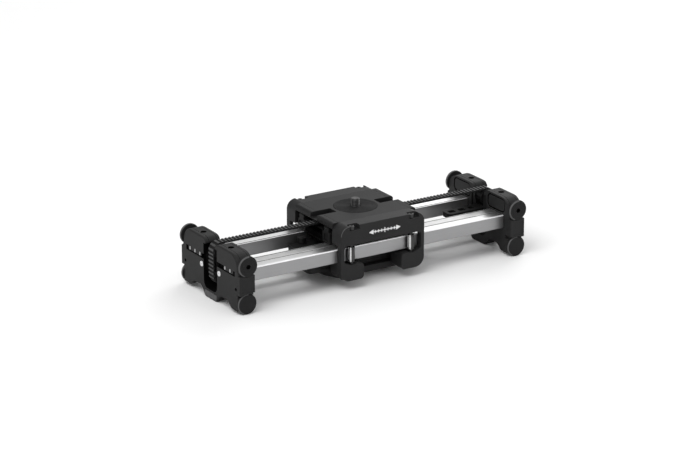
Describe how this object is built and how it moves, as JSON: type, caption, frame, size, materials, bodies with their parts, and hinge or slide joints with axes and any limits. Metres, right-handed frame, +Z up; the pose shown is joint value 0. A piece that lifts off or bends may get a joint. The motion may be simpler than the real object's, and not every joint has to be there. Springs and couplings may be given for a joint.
{
  "type": "camera slider",
  "caption": "Compact belt-driven camera slider: tripod base, parallel rails joined by end blocks, and a camera carriage that the belt drives twice as far as the rails.",
  "frame": {"origin": "centre of the footprint, on the plane the round feet stand on", "axes": "+X along the rails, +Y across the rails, +Z up, out of the camera deck"},
  "size_m": [0.3532, 0.1234, 0.0783],
  "materials": {
    "shell": "fine matte moulding, charcoal",
    "anodised": "black anodised, matte",
    "shell_dark": "matte, near black",
    "rubber": "matte rubber",
    "belt": "matte belt rubber",
    "rail": "satin anodised, brushed along its length",
    "steel": "bright ground steel",
    "black_steel": "black oxide"
  },
  "bodies": {
    "base": {"base_plate": "anodised", "base_body": "anodised", "thread_bush": "steel", "belt_clamp_lower": "shell_dark", "base_roller_screw_left_front": "black_steel", "base_roller_screw_left_rear": "black_steel", "base_roller_screw_right_front": "black_steel", "base_roller_screw_right_rear": "black_steel"},
    "rail_frame": {"rail_front": "rail", "rail_rear": "rail", "end_block_left": "shell", "end_block_right": "shell", "pulley_yoke_left": "shell_dark", "pulley_yoke_right": "shell_dark", "pulley_axle_left_upper": "steel", "pulley_axle_left_lower": "steel", "pulley_axle_right_upper": "steel", "pulley_axle_right_lower": "steel", "belt": "belt", "tongue_right": "shell_dark", "end_pad_left": "rubber", "end_pad_right": "rubber", "bumper_left_front": "rubber", "bumper_left_rear": "rubber", "bumper_right_front": "rubber", "bumper_right_rear": "rubber", "foot_left_front": "rubber", "foot_left_rear": "rubber", "foot_right_front": "rubber", "foot_right_rear": "rubber", "face_screw_left_front": "steel", "face_screw_left_rear": "steel", "face_screw_right_front": "steel", "face_screw_right_rear": "steel"},
    "carriage": {"carriage_deck": "anodised", "carriage_side_front": "anodised", "carriage_side_rear": "anodised", "carriage_guide_front": "shell_dark", "carriage_guide_rear": "shell_dark", "belt_clamp_upper": "shell_dark", "camera_pad": "rubber", "camera_screw": "black_steel", "roller_screw_left_front": "black_steel", "roller_screw_left_rear": "black_steel", "roller_screw_right_front": "black_steel", "roller_screw_right_rear": "black_steel"},
    "pulley_left_upper": {"pulley_left_upper": "shell_dark"},
    "pulley_left_lower": {"pulley_left_lower": "shell_dark"},
    "pulley_right_upper": {"pulley_right_upper": "shell_dark"},
    "pulley_right_lower": {"pulley_right_lower": "shell_dark"},
    "carriage_roller_left_front": {"carriage_roller_left_front": "steel"},
    "carriage_roller_left_rear": {"carriage_roller_left_rear": "steel"},
    "carriage_roller_right_front": {"carriage_roller_right_front": "steel"},
    "carriage_roller_right_rear": {"carriage_roller_right_rear": "steel"},
    "base_roller_left_front": {"base_roller_left_front": "black_steel"},
    "base_roller_left_rear": {"base_roller_left_rear": "black_steel"},
    "base_roller_right_front": {"base_roller_right_front": "black_steel"},
    "base_roller_right_rear": {"base_roller_right_rear": "black_steel"}
  },
  "joints": [
    {"name": "rail_slide", "type": "slide", "parent": "base", "child": "rail_frame", "axis": [1, 0, 0], "range_m": [-0.085, 0.085]},
    {"name": "carriage_slide", "type": "slide", "parent": "rail_frame", "child": "carriage", "axis": [1, 0, 0], "range_m": [-0.085, 0.085]},
    {"name": "pulley_left_upper_spin", "type": "hinge", "parent": "rail_frame", "child": "pulley_left_upper", "pos_m": [-0.1644, 0, 0.0517], "axis": [0, 1, 0], "continuous": true},
    {"name": "pulley_left_lower_spin", "type": "hinge", "parent": "rail_frame", "child": "pulley_left_lower", "pos_m": [-0.1644, 0, 0.026], "axis": [0, 1, 0], "continuous": true},
    {"name": "pulley_right_upper_spin", "type": "hinge", "parent": "rail_frame", "child": "pulley_right_upper", "pos_m": [0.1644, 0, 0.0517], "axis": [0, 1, 0], "continuous": true},
    {"name": "pulley_right_lower_spin", "type": "hinge", "parent": "rail_frame", "child": "pulley_right_lower", "pos_m": [0.1644, 0, 0.026], "axis": [0, 1, 0], "continuous": true},
    {"name": "carriage_roller_left_front_spin", "type": "hinge", "parent": "carriage", "child": "carriage_roller_left_front", "pos_m": [-0.0366, -0.0508, 0.0384], "axis": [0, 0, 1], "continuous": true},
    {"name": "carriage_roller_left_rear_spin", "type": "hinge", "parent": "carriage", "child": "carriage_roller_left_rear", "pos_m": [-0.0366, 0.0508, 0.0384], "axis": [0, 0, 1], "continuous": true},
    {"name": "carriage_roller_right_front_spin", "type": "hinge", "parent": "carriage", "child": "carriage_roller_right_front", "pos_m": [0.0366, -0.0508, 0.0384], "axis": [0, 0, 1], "continuous": true},
    {"name": "carriage_roller_right_rear_spin", "type": "hinge", "parent": "carriage", "child": "carriage_roller_right_rear", "pos_m": [0.0366, 0.0508, 0.0384], "axis": [0, 0, 1], "continuous": true},
    {"name": "base_roller_left_front_spin", "type": "hinge", "parent": "base", "child": "base_roller_left_front", "pos_m": [-0.056, -0.0158, 0.0375], "axis": [0, 0, 1], "continuous": true},
    {"name": "base_roller_left_rear_spin", "type": "hinge", "parent": "base", "child": "base_roller_left_rear", "pos_m": [-0.056, 0.0158, 0.0375], "axis": [0, 0, 1], "continuous": true},
    {"name": "base_roller_right_front_spin", "type": "hinge", "parent": "base", "child": "base_roller_right_front", "pos_m": [0.056, -0.0158, 0.0375], "axis": [0, 0, 1], "continuous": true},
    {"name": "base_roller_right_rear_spin", "type": "hinge", "parent": "base", "child": "base_roller_right_rear", "pos_m": [0.056, 0.0158, 0.0375], "axis": [0, 0, 1], "continuous": true}
  ],
  "couplings": [
    {"joint": "carriage_slide", "follows": "rail_slide", "ratio": 1},
    {"joint": "pulley_left_upper_spin", "follows": "rail_slide", "rad_per_m": 123.46},
    {"joint": "pulley_left_lower_spin", "follows": "rail_slide", "rad_per_m": 123.46},
    {"joint": "pulley_right_upper_spin", "follows": "rail_slide", "rad_per_m": 123.46},
    {"joint": "pulley_right_lower_spin", "follows": "rail_slide", "rad_per_m": 123.46},
    {"joint": "carriage_roller_left_front_spin", "follows": "rail_slide", "rad_per_m": 270.27},
    {"joint": "carriage_roller_left_rear_spin", "follows": "rail_slide", "rad_per_m": -270.27},
    {"joint": "carriage_roller_right_front_spin", "follows": "rail_slide", "rad_per_m": 270.27},
    {"joint": "carriage_roller_right_rear_spin", "follows": "rail_slide", "rad_per_m": -270.27},
    {"joint": "base_roller_left_front_spin", "follows": "rail_slide", "rad_per_m": 208.33},
    {"joint": "base_roller_left_rear_spin", "follows": "rail_slide", "rad_per_m": -208.33},
    {"joint": "base_roller_right_front_spin", "follows": "rail_slide", "rad_per_m": 208.33},
    {"joint": "base_roller_right_rear_spin", "follows": "rail_slide", "rad_per_m": -208.33}
  ]
}
